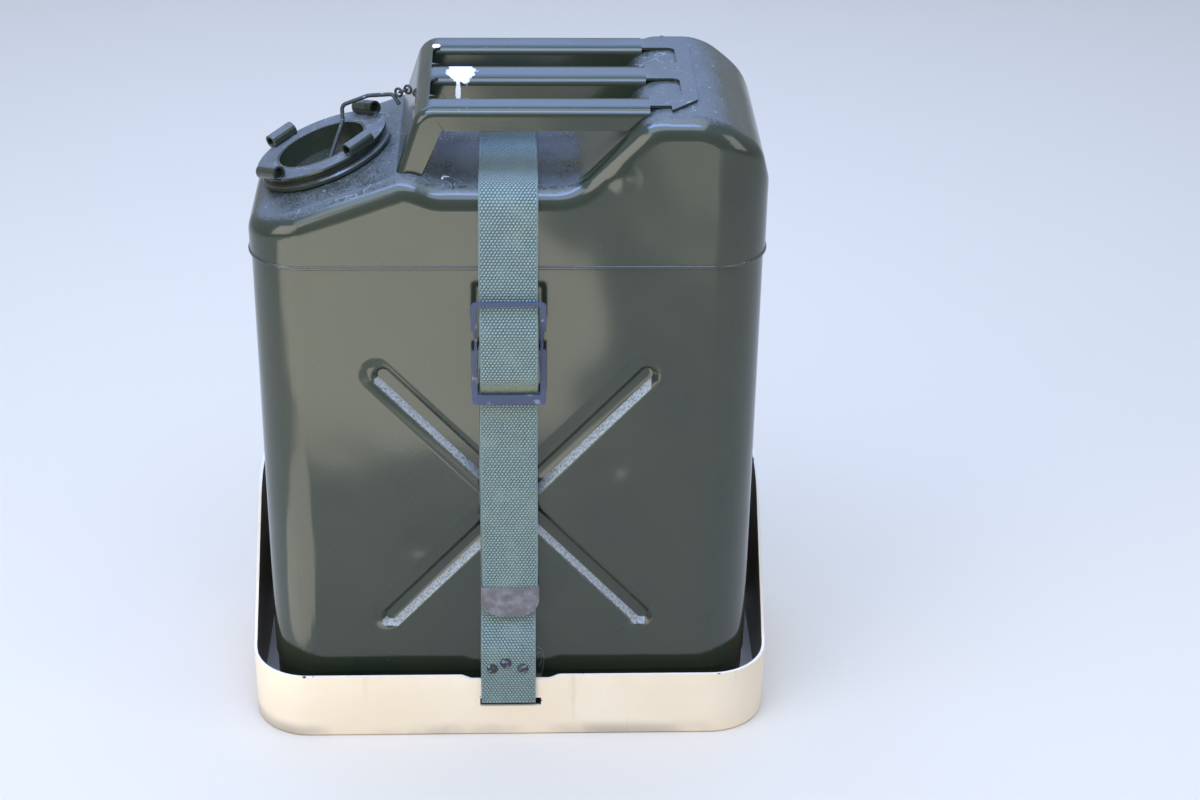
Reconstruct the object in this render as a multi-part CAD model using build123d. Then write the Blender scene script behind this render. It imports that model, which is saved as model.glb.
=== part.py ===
from build123d import *
import math
import os

# Fuel can strapped in its vehicle carrier. Millimetres, X to the right, Y into the vehicle, Z up.
# The pieces are drawn about the can's middle, with height 0 at the carrier's underside, and are
# written with the origin at the middle of the four panel bolts, on the back plate's rear face.

# Carrier, with its gaps to the can
TRAY_SIDE_GAP = 15.0
TRAY_FRONT_GAP = 14.0
TRAY_BACK_GAP = 13.0
TRAY_SHEET = 2.0
TRAY_FRONT_R = 42.0
TRAY_BACK_R = 30.0
LIP_H = 52.0
WALL_H = 142.0
RIM_START = 39.0
RIM_END = 62.0
RIM_BLEND_R = 45.0
LIP_DIP_W = 56.0
LIP_DIP = 3.0
DRAIN_D = 12.0
DRAIN_SPACING_X = 220.0
DRAIN_SPACING_Y = 90.0

# Back plate
PLATE_W = 250.0
PLATE_T = 2.5
PLATE_FOOT_Z = 22.0
PLATE_TOP_Z = 312.0
PLATE_CORNER_R = 22.0
BOLT_SPACING_X = 190.0
BOLT_SPACING_Z = 200.0
BOLT_Z = 175.0
BOLT_HOLE_D = 9.0
RIB_X = 62.0
RIB_W = 16.0
RIB_H = 5.0
RIB_FOOT_Z = 162.0
RIB_HEAD_Z = 290.0
BRIDGE_Z = 205.0
BRIDGE_H = 26.0
BRIDGE_RISE = 6.0
BRIDGE_RAMP = 12.0
BRIDGE_SLIT = 6.0

# Can
CAN_W = 344.0
CAN_D = 166.0
CAN_CORNER_R = 37.0
SHEET = 0.9
LAP_CLEAR = 0.2
LAP = 13.0
SEAM_Z = 369.0
FOOT_SEAM_Z = 47.0
FOOT_EDGE_R = 20.0
FOOT_RECESS = 4.0
FOOT_RECESS_MARGIN = 34.0
SWAGE_HALF_W = 89.5
SWAGE_HALF_H = 97.5
SWAGE_X = 4.5
SWAGE_Z = 190.5
SWAGE_W = 15.5
SWAGE_DEPTH = 4.0
SWAGE_WALL_DEG = 45.0
SWAGE_EDGE_R = 2.5
BEAD_H = 2.6
BEAD_OUT = 0.8

# Can top: slope that carries the filler, strap valley, and hump
SLOPE_DEG = 20.0
PEAK_X = -66.0
PEAK_Z = 433.0
VALLEY_LEFT_X = -46.0
VALLEY_RIGHT_X = 44.0
VALLEY_Z = 425.0
HUMP_LEFT_X = 92.0
HUMP_TOP_Z = 474.0
HUMP_BEND_X = 134.0
HUMP_SIDE_X = 165.5
HUMP_SIDE_Z = 450.0
HUMP_SHOULDER_Z = 420.0
TOP_EDGE_R = 14.0

# Carrying handle, one pressing with three bars
BAR_SPACING = 58.0
BAR_W = 22.0
BAR_H = 13.0
BAR_OVER_HUMP = 2.0
BAR_EDGE_R = 5.5
HANDLE_SHEET = 1.6
LEG_FOOT_X = -73.0
LEG_TOP_X = -58.0
LEG_BEND_R = 15.0
LEG_FLANGE = 16.0
SLOT_LEFT_X = -51.0
SLOT_RIGHT_X = 114.0
HANDLE_PLATE_X = 124.0
HANDLE_PLATE_CORNER = 17.0
HANDLE_SEAT = 0.15

# Filler and cap, measured square to the slope from its surface
NECK_X = -122.5
NECK_FOOT_R = 46.0
NECK_FOOT_H = 4.5
NECK_R = 41.5
NECK_H = 7.5
NECK_BORE_R = 33.0
NECK_WALL = 2.0
NECK_DEPTH = 16.0
GASKET_T = 1.6
GASKET_W = 7.5
CAP_SEAT = 0.2
CAP_R = 46.5
CAP_T = 2.0
CUP_R = 32.0
CUP_WALL = 1.5
CUP_DEPTH = 15.0
LUG_COUNT = 4
LUG_START_DEG = 43.0
LUG_R = 44.5
LUG_D = 10.0
LUG_WALL = 1.4
LUG_L = 20.0
LUG_RISE = 3.8
WIRE_D = 2.8
BUTTON_R = 8.0
BUTTON_T = 2.6
WIRE_OVER = 23.8
WIRE_FOOT_R = 2.0
WIRE_FOOT_DEG = 55.0
WIRE_RISE = 5.0
WIRE_SWING_DEG = 36.0
WIRE_HOOK_R = 58.5
WIRE_HOOK_DEG = 20.0
WIRE_DROP = 4.5
CHAIN_LINKS = 3
LINK_WIRE_D = 1.8
LINK_HALF_W = 2.6
LINK_LAP = 3.0
LINK_SIDES = 8
CHAIN_CLEAR = 0.8
EYE_CLEAR = 2.5
EYE_Y = 8.0
EYE_DROP = 15.0

# Strap and buckle
WEB_W = 39.0
WEB_T = 2.0
WEB_CLEAR = 0.3
WEB_BEND_R = 4.0
TAIL_END_Z = 112.0
TAIL_STEP = 26.0
BULGE = 2.0
SHORT_END_Z = 300.0
SLOT_Z = 29.0
SLOT_H = 7.0
SLOT_SIDE = 2.5
RIVET_D = 8.0
RIVET_SHANK_D = 4.0
RIVET_HEAD = 1.2
BUCKLE_W = 50.0
BUCKLE_FOOT_Z = 272.5
BUCKLE_TOP_Z = 351.5
BUCKLE_T = 2.4
BUCKLE_STAND = 1.0
BUCKLE_LEAN = 8.2
BUCKLE_KICK = 3.0
BUCKLE_RAIL = 4.0
BUCKLE_NECK = 2.0
BUCKLE_CORNER_R = 3.0
BUCKLE_BOW_R = 20.0
TOP_BAR_H = 3.0
MIDDLE_BAR_H = 5.0
BOTTOM_BAR_H = 7.0
MIDDLE_BAR_Z = 310.0
NECK_FOOT_Z = 312.5
NECK_HEAD_Z = 328.0
TIP_FOOT_Z = 99.0
TIP_H = 24.0
TIP_T = 0.8
TIP_CORNER_R = 14.0

# Derived places
TRAY_W = CAN_W + 2 * TRAY_SIDE_GAP
TRAY_FRONT_Y = -CAN_D / 2 - TRAY_FRONT_GAP
TRAY_BACK_Y = CAN_D / 2 + TRAY_BACK_GAP
BAR_TOP_Z = HUMP_TOP_Z + BAR_OVER_HUMP
EYE_Z = BAR_TOP_Z - EYE_DROP
PLATE_REAR_Y = TRAY_BACK_Y + PLATE_T
FACE_Y = -CAN_D / 2
TOP_STEP = SHEET + LAP_CLEAR
TOP_W = CAN_W + 2 * TOP_STEP
TOP_D = CAN_D + 2 * TOP_STEP
TOP_FACE_Y = -TOP_D / 2
SLOPE = math.tan(math.radians(SLOPE_DEG))
CAN_FOOT_Z = TRAY_SHEET
CAP_FOOT = NECK_H + CAP_SEAT + GASKET_T + CAP_SEAT
WEB_PITCH = WEB_T + WEB_CLEAR
LONG_Y = TOP_FACE_Y - BEAD_OUT - WEB_CLEAR - WEB_T / 2
SHORT_Y = FACE_Y - WEB_CLEAR - WEB_T / 2
TAIL_Y = SHORT_Y - WEB_PITCH
TIP_Y = TAIL_Y - 2 * TIP_T - WEB_CLEAR
BUCKLE_Y = LONG_Y - WEB_T / 2 - BUCKLE_T / 2 - WEB_CLEAR - BUCKLE_STAND
LIP_OUT_Y = TRAY_FRONT_Y - WEB_CLEAR - WEB_T / 2
LIP_IN_Y = TRAY_FRONT_Y + TRAY_SHEET + WEB_CLEAR + WEB_T / 2


def slope_z(x):
    """Height of the filler's slope at x."""
    return PEAK_Z - (PEAK_X - x) * SLOPE


def slope_plane(height):
    """Plane on the filler's axis, square to the slope, at a height over it."""
    foot = Vector(NECK_X, 0, slope_z(NECK_X))
    axis = Vector(-math.sin(math.radians(SLOPE_DEG)), 0, math.cos(math.radians(SLOPE_DEG)))
    along = Vector(math.cos(math.radians(SLOPE_DEG)), 0, math.sin(math.radians(SLOPE_DEG)))
    return Plane(origin=foot + axis * height, x_dir=along, z_dir=axis)


def rounded_face(plane, rows):
    """Face on a plane from rows of (across, up, corner radius)."""
    face = make_face(plane * Polyline(*[(a, b) for a, b, _ in rows], close=True))
    for a, b, radius in rows:
        if radius:
            corner = face.vertices().sort_by_distance(plane.from_local_coords((a, b, 0)))[0]
            face = fillet(corner, radius)
    return face


def ring(plane, rows):
    """Solid of revolution about a plane's normal, from rows of (radius, height)."""
    section = Plane(origin=plane.origin, x_dir=plane.x_dir, z_dir=-plane.y_dir)
    face = make_face(section * Polyline(*rows, close=True))
    return revolve(face, Axis(plane.origin, plane.z_dir), 360)


def plan_block(width, depth, radius, low, high):
    """Upright block with rounded corners between two heights."""
    return extrude(Pos(0, 0, low) * RectangleRounded(width, depth, radius), high - low)


def swages(grow):
    """Two crossed grooves with sloping walls in each broad face, as solids to cut."""
    slope = math.radians(SWAGE_WALL_DEG)
    out = SWAGE_W / 4
    width = SWAGE_W + 2 * (grow / math.cos(slope) + out * math.tan(slope))
    length = 2 * math.hypot(SWAGE_HALF_W, SWAGE_HALF_H)
    lean = math.degrees(math.atan2(SWAGE_HALF_H, SWAGE_HALF_W))
    cuts = []
    for side in (-1, 1):
        place = Plane(
            origin=(SWAGE_X, side * (CAN_D / 2 + out), SWAGE_Z), x_dir=(1, 0, 0), z_dir=(0, side, 0)
        )
        for turn in (-lean, lean):
            slot = place * Rot(0, 0, turn) * SlotCenterToCenter(length, width)
            cuts.append(extrude(slot, -(out + SWAGE_DEPTH + grow), taper=SWAGE_WALL_DEG))
    return cuts


def wrap_form(inset, low, high):
    """Outside form of the wrap with its grooves, drawn in by an inset."""
    wrap = plan_block(CAN_W - 2 * inset, CAN_D - 2 * inset, CAN_CORNER_R - inset, low, high)
    wrap -= swages(inset)
    face_y = CAN_D / 2 - inset
    rims = []
    for edge in wrap.edges():
        ends = edge.bounding_box()
        if abs(abs((edge @ 0.5).Y) - face_y) < 0.01 and low < ends.min.Z and ends.max.Z < high:
            rims.append(edge)
    return fillet(rims, SWAGE_EDGE_R - inset)


def can_body():
    """Wrap of the can, open at both ends."""
    low, high = FOOT_SEAM_Z, SEAM_Z + LAP
    return wrap_form(0, low, high) - wrap_form(SHEET, low - 1, high + 1)


def foot_form(inset):
    """Outside form of the bottom pan, drawn in by an inset."""
    width = CAN_W - 2 * TOP_STEP - 2 * inset
    depth = CAN_D - 2 * TOP_STEP - 2 * inset
    radius = CAN_CORNER_R - TOP_STEP - inset
    high = FOOT_SEAM_Z + LAP + inset
    pan = plan_block(width, depth, radius, CAN_FOOT_Z + inset, high)
    pan = fillet(pan.edges().group_by(Axis.Z)[0], FOOT_EDGE_R - inset)
    margin = FOOT_RECESS_MARGIN - inset
    recess = plan_block(
        CAN_W - 2 * margin, CAN_D - 2 * margin, CAN_CORNER_R - 15 + inset,
        CAN_FOOT_Z - 1, CAN_FOOT_Z + FOOT_RECESS + inset,
    )
    return pan - recess


def can_bottom():
    """Pressed bottom pan with a raised floor, tucked up inside the wrap."""
    return foot_form(0) - foot_form(SHEET)


def top_form(inset):
    """Outside form of the can's top, drawn in by an inset."""
    half = TOP_W / 2
    rows = [
        (-half, SEAM_Z, 0),
        (-half, slope_z(-half), 0),
        (PEAK_X, PEAK_Z, 22),
        (VALLEY_LEFT_X, VALLEY_Z, 24),
        (VALLEY_RIGHT_X, VALLEY_Z, 26),
        (HUMP_LEFT_X, HUMP_TOP_Z, 30),
        (HUMP_BEND_X, HUMP_TOP_Z, 40),
        (HUMP_SIDE_X, HUMP_SIDE_Z, 36),
        (half, HUMP_SHOULDER_Z, 0),
        (half, SEAM_Z, 0),
    ]
    face = rounded_face(Plane.XZ, rows)
    if inset:
        face = offset(face, -inset)
    block = extrude(face, TOP_D, both=True)
    width, depth, radius = TOP_W - 2 * inset, TOP_D - 2 * inset, CAN_CORNER_R - inset
    solid = block & plan_block(width, depth, radius, SEAM_Z, HUMP_TOP_Z + 1)

    def on_outline(point):
        across, deep = abs(point.X) - width / 2 + radius, abs(point.Y) - depth / 2 + radius
        if across > 0 and deep > 0:
            return abs(math.hypot(across, deep) - radius) < 0.01
        return abs(max(across, deep) - radius) < 0.01

    def upright(edge):
        return (edge @ 0 - edge @ 1).Z and math.hypot((edge @ 0 - edge @ 1).X, (edge @ 0 - edge @ 1).Y) < 0.01

    rim = [
        edge for edge in solid.edges()
        if all(on_outline(edge @ step) for step in (0, 0.3, 0.5, 0.7, 1))
        and not upright(edge) and min((edge @ 0).Z, (edge @ 1).Z) > SEAM_Z + 5
    ]
    return fillet(rim, TOP_EDGE_R - inset)


def can_top():
    """Domed top, open below, with the filler's hole."""
    width, depth, radius = TOP_W - 2 * SHEET, TOP_D - 2 * SHEET, CAN_CORNER_R - SHEET
    mouth = plan_block(width, depth, radius, SEAM_Z - 1, SEAM_Z + 2 * SHEET)
    hole = slope_plane(0) * Cylinder(NECK_BORE_R + NECK_WALL + LAP_CLEAR, 2 * NECK_DEPTH)
    bead = plan_block(
        TOP_W + 2 * BEAD_OUT, TOP_D + 2 * BEAD_OUT, CAN_CORNER_R + BEAD_OUT, SEAM_Z, SEAM_Z + BEAD_H
    )
    bead = fillet(bead.edges().filter_by(Axis.Z, reverse=True), BEAD_OUT)
    return (top_form(0) + bead) - top_form(SHEET) - mouth - hole


def handle_outline(drop):
    """Rows of the handle's side outline, its top line lowered by a drop."""
    lean = (LEG_TOP_X - LEG_FOOT_X) / (BAR_TOP_Z - slope_z(LEG_FOOT_X))
    side = drop / math.cos(math.atan(lean))
    foot_z = slope_z(LEG_FOOT_X) - 6
    foot_x = LEG_TOP_X - (BAR_TOP_Z - foot_z) * lean
    top_x = LEG_TOP_X - drop * lean
    return foot_x + side, foot_z, top_x + side, BAR_TOP_Z - drop


def bar_solid(width, drop, depth, flange, length_x):
    """Bar with its leg, as a solid between the handle's top line and a depth below it."""
    foot_x, foot_z, top_x, top_z = handle_outline(drop)
    rows = [
        (foot_x, foot_z, 0),
        (top_x, top_z, LEG_BEND_R - drop),
        (length_x, top_z, 0),
        (length_x, BAR_TOP_Z - depth, 0),
        (top_x + flange - drop, BAR_TOP_Z - depth, 5),
        (foot_x + flange - drop, foot_z, 0),
    ]
    return extrude(rounded_face(Plane.XZ, rows), width / 2, both=True)


def crown_edges(bar, drop):
    """Edges along a bar's top and down the outside of its leg."""
    foot_x, foot_z, top_x, top_z = handle_outline(drop)
    leg = Vector(top_x - foot_x, 0, top_z - foot_z).normalized()
    picked = []
    for face in bar.faces().filter_by(Plane.XZ):
        for edge in face.edges():
            middle = edge @ 0.5
            off_leg = Vector(middle.X - foot_x, 0, middle.Z - foot_z).cross(leg).length
            on_leg = off_leg < LEG_FLANGE / 3 and middle.X < top_x + LEG_BEND_R / 2
            if middle.Z > top_z - HANDLE_SHEET / 2 or on_leg:
                picked.append(edge)
    return picked


def can_handle():
    """Handle pressing: three channel bars, one leg sheet and a seat on the hump."""
    span = 2 * BAR_SPACING + BAR_W
    foot_x, foot_z, top_x, top_z = handle_outline(0)
    bar = bar_solid(BAR_W, 0, BAR_H, LEG_FLANGE, HUMP_LEFT_X)
    hollow = bar_solid(
        BAR_W - 2 * HANDLE_SHEET, HANDLE_SHEET, BAR_H + 9, LEG_FLANGE + 9, HUMP_LEFT_X + 1
    )
    bar = fillet(crown_edges(bar, 0), BAR_EDGE_R)
    bar -= fillet(crown_edges(hollow, HANDLE_SHEET), BAR_EDGE_R - HANDLE_SHEET)
    sheet_rows = [
        (foot_x, foot_z, 0),
        (top_x, top_z, LEG_BEND_R),
        (HANDLE_PLATE_X, top_z, 0),
        (HANDLE_PLATE_X, top_z - HANDLE_SHEET, 0),
        (handle_outline(HANDLE_SHEET)[2], top_z - HANDLE_SHEET, LEG_BEND_R - HANDLE_SHEET),
        (handle_outline(HANDLE_SHEET)[0], foot_z, 0),
    ]
    inner_span = span - 2 * BAR_EDGE_R
    sheet = extrude(rounded_face(Plane.XZ, sheet_rows), inner_span / 2, both=True)
    seat = extrude(
        Pos((SLOT_RIGHT_X - 8 + HANDLE_PLATE_X) / 2, 0, BAR_TOP_Z - HANDLE_SHEET)
        * Rectangle(HANDLE_PLATE_X - SLOT_RIGHT_X + 8, span),
        HANDLE_SHEET,
    )
    outer_corners = seat.edges().filter_by(Axis.Z).group_by(Axis.X)[-1]
    seat = chamfer(outer_corners, HANDLE_PLATE_CORNER)
    sheet_end = Pos(HANDLE_PLATE_X, 0, BAR_TOP_Z) * Box(2 * HANDLE_PLATE_CORNER, 2 * span, 2 * BAR_H)
    handle = (sheet - sheet_end) + seat
    slot_w = BAR_SPACING - BAR_W
    for side in (-0.5, 0.5):
        slot = extrude(
            Pos((SLOT_LEFT_X + SLOT_RIGHT_X) / 2, side * BAR_SPACING, BAR_TOP_Z - BAR_H)
            * RectangleRounded(SLOT_RIGHT_X - SLOT_LEFT_X, slot_w, 5),
            2 * BAR_H,
        )
        handle -= slot
    for side in (-1, 0, 1):
        handle -= Pos(0, side * BAR_SPACING, 0) * hollow_crown()
        handle += Pos(0, side * BAR_SPACING, 0) * bar
    return handle - Pos(0, 0, HANDLE_SEAT) * top_form(0)


def hollow_crown():
    """Strip of the leg sheet and top sheet that each bar replaces."""
    length = HUMP_LEFT_X - SLOT_LEFT_X
    return Pos(SLOT_LEFT_X + length / 2, 0, BAR_TOP_Z) * Box(length, BAR_W, 2 * HANDLE_SHEET + 0.1)


def filler_neck():
    """Filler neck: turned foot, collar and a threaded sleeve that reaches into the can."""
    sleeve = NECK_BORE_R + NECK_WALL
    rows = [
        (NECK_BORE_R, -NECK_DEPTH),
        (sleeve, -NECK_DEPTH),
        (sleeve, LAP_CLEAR),
        (NECK_FOOT_R - 1.5, LAP_CLEAR),
        (NECK_FOOT_R, 1.5),
        (NECK_FOOT_R, NECK_FOOT_H - 1),
        (NECK_FOOT_R - 1, NECK_FOOT_H),
        (NECK_R, NECK_FOOT_H),
        (NECK_R, NECK_H),
        (NECK_BORE_R, NECK_H),
    ]
    return ring(slope_plane(0), rows)


def cap_gasket():
    """Flat sealing ring on the collar."""
    low = NECK_H + CAP_SEAT
    rows = [
        (NECK_R - GASKET_W, low), (NECK_R, low), (NECK_R, low + GASKET_T),
        (NECK_R - GASKET_W, low + GASKET_T),
    ]
    return ring(slope_plane(0), rows)


def cap_ring():
    """Flat rim of the cap with its rolled lugs."""
    high = CAP_FOOT + CAP_T
    rows = [
        (CUP_R + CAP_SEAT, CAP_FOOT), (CAP_R - 0.4, CAP_FOOT), (CAP_R, CAP_FOOT + 0.4), (CAP_R, high),
        (CUP_R + CAP_SEAT, high),
    ]
    rim = ring(slope_plane(0), rows)
    frame = slope_plane(high + LUG_RISE)
    turns = [Rot(0, 0, LUG_START_DEG + 360 * number / LUG_COUNT) for number in range(LUG_COUNT)]
    places = [frame * turn * Pos(LUG_R, 0, 0) * Rot(90, 0, 0) for turn in turns]
    rim += [place * Cylinder(LUG_D / 2, LUG_L) for place in places]
    return rim - [place * Cylinder(LUG_D / 2 - LUG_WALL, LUG_L + 2) for place in places]


def cap_cup():
    """Threaded cup that hangs from the cap's rim into the neck."""
    high = CAP_FOOT + CAP_T
    low = high - CUP_DEPTH
    rows = [
        (0, low - CUP_WALL), (CUP_R - 2, low - CUP_WALL), (CUP_R, low + 0.5), (CUP_R, high),
        (CUP_R - CUP_WALL, high), (CUP_R - CUP_WALL, low), (0, low),
    ]
    return ring(slope_plane(0), rows)


def tube(points, radii, diameter):
    """Round wire along straight runs joined by arcs."""
    path = FilletPolyline(*points, radius=radii)
    start = Plane(origin=path @ 0, z_dir=path % 0)
    return sweep(start * Circle(diameter / 2), path=path)


def polar(frame, radius, degrees, height):
    """Point on a plane's frame, given by radius, turn and height."""
    angle = math.radians(degrees)
    return frame.from_local_coords((radius * math.cos(angle), radius * math.sin(angle), height))


def wire_points():
    """Corners of the cap's retaining wire."""
    frame = slope_plane(0)
    floor = CAP_FOOT + CAP_T - CUP_DEPTH
    return [
        polar(frame, WIRE_FOOT_R, WIRE_FOOT_DEG, floor + BUTTON_T),
        polar(frame, CUP_R - WIRE_RISE, WIRE_FOOT_DEG, CAP_FOOT + WIRE_RISE),
        polar(frame, CUP_R, WIRE_FOOT_DEG, WIRE_OVER),
        polar(frame, CAP_R, WIRE_SWING_DEG, WIRE_OVER),
        polar(frame, WIRE_HOOK_R, WIRE_HOOK_DEG, WIRE_OVER - WIRE_DROP / 2),
        polar(frame, WIRE_HOOK_R + 1, WIRE_HOOK_DEG - WIRE_DROP, WIRE_OVER - 2 * WIRE_DROP),
    ]


def cap_wire():
    """Retaining wire on its swivel button at the cup's floor."""
    wire = tube(wire_points(), [5, 4, 6, 4], WIRE_D)
    floor = CAP_FOOT + CAP_T - CUP_DEPTH
    rows = [
        (0, floor + CAP_SEAT), (BUTTON_R, floor + CAP_SEAT), (BUTTON_R, floor + BUTTON_T - 1),
        (BUTTON_R - 2.5, floor + BUTTON_T), (0, floor + BUTTON_T),
    ]
    return wire + ring(slope_plane(0), rows)


def chain_ends():
    """Ends of the cap's chain, clear of the wire's hook and of the handle's leg."""
    hook = wire_points()[-2]
    foot_x, foot_z, top_x, top_z = handle_outline(0)
    leg = Vector(foot_x + (top_x - foot_x) * (EYE_Z - foot_z) / (top_z - foot_z), EYE_Y, EYE_Z)
    along = (leg - hook).normalized()
    return hook + along * (WIRE_D / 2 + CHAIN_CLEAR), leg - along * EYE_CLEAR


def chain_link(length):
    """One long link about the origin, along X."""
    reach = length / 2 - LINK_WIRE_D / 2 - LINK_HALF_W
    section = Plane.YZ * Pos(LINK_HALF_W, 0) * RegularPolygon(LINK_WIRE_D / 2, LINK_SIDES)
    bend = Pos(-reach, 0, 0) * revolve(section, Axis.Z, 180)
    half = bend + Pos(-reach, 0, 0) * extrude(section, reach)
    half += Pos(-reach, -2 * LINK_HALF_W, 0) * extrude(section, reach)
    return half + Rot(0, 0, 180) * half


def cap_chain():
    """Chain from the wire's hook to the handle."""
    hook, eye = chain_ends()
    whole = eye - hook
    link_l = (whole.length + (CHAIN_LINKS - 1) * LINK_LAP) / CHAIN_LINKS
    link = chain_link(link_l)
    chain = []
    for number in range(CHAIN_LINKS):
        middle = hook + whole.normalized() * (link_l / 2 + number * (link_l - LINK_LAP))
        place = Plane(origin=middle, x_dir=whole, z_dir=whole.cross(Vector(0, 0, 1)))
        chain.append(place * Rot(90 * (number % 2), 0, 0) * link)
    return Compound(chain)


def web(points, radii, width=WEB_W, thickness=WEB_T):
    """Flat band along corners in the YZ plane."""
    path = FilletPolyline(*[(0, y, z) for y, z in points], radius=radii)
    start = Plane(origin=path @ 0, x_dir=(1, 0, 0), z_dir=path % 0)
    return sweep(start * Rectangle(width, thickness), path=path)


def strap_long():
    """Strap from the back plate's bridge, over the can and through the buckle, with its free tail."""
    under_bar = BUCKLE_T / 2 + WEB_CLEAR + WEB_T / 2
    bulge_y = BUCKLE_Y - BUCKLE_T / 2 - 2 * WEB_PITCH - WEB_T / 2 - BULGE
    corner_r = TOP_EDGE_R + BEAD_OUT + WEB_CLEAR + WEB_T / 2
    over_z = VALLEY_Z + WEB_CLEAR + WEB_T / 2
    behind = PLATE_REAR_Y - BRIDGE_RISE + WEB_CLEAR + WEB_T / 2
    high, low = BRIDGE_Z + BRIDGE_H / 2 + WEB_PITCH, BRIDGE_Z - BRIDGE_H / 2 - WEB_PITCH
    points = [
        (TIP_Y, TAIL_END_Z),
        (TIP_Y, TIP_FOOT_Z + TIP_H + 3),
        (TAIL_Y, TIP_FOOT_Z + TIP_H + TAIL_STEP),
        (TAIL_Y, BUCKLE_FOOT_Z - TAIL_STEP),
        (BUCKLE_Y - BUCKLE_KICK / 4 + under_bar, BUCKLE_FOOT_Z + BOTTOM_BAR_H + WEB_T / 2),
        (bulge_y, BUCKLE_FOOT_Z + 3 * BOTTOM_BAR_H),
        (bulge_y, NECK_HEAD_Z),
        (BUCKLE_Y - 3 * BUCKLE_LEAN / 4 + under_bar, BUCKLE_TOP_Z - TOP_BAR_H - WEB_T / 2),
        (LONG_Y, over_z),
        (-LONG_Y, over_z),
        (-LONG_Y, high + 24),
        (behind, high),
        (behind, low),
        (-LONG_Y - 0.6, low - 6),
        (-LONG_Y - 0.6, high + 8),
    ]
    radii = [20, 20, 20, 8, 8, 8, 8, corner_r, corner_r, 12, WEB_BEND_R, 2.4, 2.4]
    return web(points, radii)


def strap_short():
    """Strap looped round the buckle's middle bar and riveted round the tray's front lip."""
    rear = BUCKLE_Y + BUCKLE_T / 2 + WEB_CLEAR + WEB_T / 2
    front = BUCKLE_Y - BUCKLE_T / 2 - WEB_CLEAR - WEB_T / 2
    crest = MIDDLE_BAR_Z + MIDDLE_BAR_H / 2 + 4 * WEB_CLEAR + WEB_T / 2
    inner = LIP_OUT_Y + WEB_PITCH
    points = [
        (front, SHORT_END_Z),
        (front, crest),
        (rear, crest),
        (rear, SHORT_END_Z),
        (SHORT_Y, SHORT_END_Z - 14),
        (SHORT_Y, TIP_FOOT_Z - 1),
        (LIP_OUT_Y, LIP_H + 22),
        (LIP_OUT_Y, SLOT_Z),
        (LIP_IN_Y, SLOT_Z),
        (LIP_IN_Y, LIP_H - 1),
        (inner, LIP_H + 4),
        (inner, LIP_H + 18),
    ]
    turn_r = (rear - front) / 2 - 0.05
    lip_r = (LIP_IN_Y - LIP_OUT_Y) / 2 - 0.05
    strap = web(points, [turn_r, turn_r, 8, 12, 14, 14, lip_r, lip_r, 4, 4])
    for x, z in rivet_places():
        strap -= Pos(x, inner, z) * Rot(90, 0, 0) * Cylinder(RIVET_SHANK_D / 2 + 0.2, 12)
    return strap


def rivet_places():
    """Rows of (x, z) of the three rivets through the short strap."""
    return [(-13.0, LIP_H + 8), (-3.4, LIP_H + 12.8), (8.8, LIP_H + 8)]


def strap_rivets():
    """Three rivets that close the short strap's loop."""
    outer = LIP_OUT_Y - WEB_T / 2 - 0.1
    inner = LIP_OUT_Y + WEB_PITCH + WEB_T / 2 + 0.1
    rivets = []
    for x, z in rivet_places():
        rows = [
            (0, outer - RIVET_HEAD), (RIVET_D / 2 - 1, outer - RIVET_HEAD), (RIVET_D / 2, outer - 0.4),
            (RIVET_D / 2, outer), (RIVET_SHANK_D / 2, outer), (RIVET_SHANK_D / 2, inner),
            (RIVET_D / 2 - 0.5, inner), (RIVET_D / 2 - 0.5, inner + 0.8), (0, inner + 0.8),
        ]
        rivets.append(ring(Plane(origin=(x, 0, z), x_dir=(1, 0, 0), z_dir=(0, 1, 0)), rows))
    return Compound(rivets)


def strap_buckle():
    """Bowed three-bar buckle: its top leans out and its foot kicks out."""
    foot_z, top_z, reach = BUCKLE_FOOT_Z - BUCKLE_T, BUCKLE_TOP_Z + BUCKLE_T, -2 * BUCKLE_Y
    points = [
        (BUCKLE_Y - BUCKLE_KICK, foot_z), (BUCKLE_Y, BUCKLE_FOOT_Z + 2 * BOTTOM_BAR_H),
        (BUCKLE_Y, MIDDLE_BAR_Z + MIDDLE_BAR_H), (BUCKLE_Y - BUCKLE_LEAN, top_z),
    ]
    half, neck = BUCKLE_W / 2, BUCKLE_W / 2 - BUCKLE_RAIL + BUCKLE_NECK
    side = [
        (half, BUCKLE_FOOT_Z, BUCKLE_CORNER_R), (half, NECK_FOOT_Z, BUCKLE_NECK / 2),
        (neck, NECK_FOOT_Z, 0), (neck, NECK_HEAD_Z, 0), (half, NECK_HEAD_Z, BUCKLE_NECK / 2),
        (half, BUCKLE_TOP_Z, BUCKLE_CORNER_R),
    ]
    outline = side + [(-x, z, radius) for x, z, radius in reversed(side)]
    band = web(points, [BUCKLE_BOW_R, BUCKLE_BOW_R], 2 * BUCKLE_W, BUCKLE_T)
    plate = band & extrude(rounded_face(Plane.XZ, outline), reach, both=True)
    for low, high in (
        (BUCKLE_FOOT_Z + BOTTOM_BAR_H, MIDDLE_BAR_Z - MIDDLE_BAR_H / 2),
        (MIDDLE_BAR_Z + MIDDLE_BAR_H / 2, BUCKLE_TOP_Z - TOP_BAR_H),
    ):
        window = RectangleRounded(BUCKLE_W - 2 * BUCKLE_RAIL, high - low, 1)
        plate -= extrude(Plane.XZ * Pos(0, (low + high) / 2) * window, reach, both=True)
    return plate


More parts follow.
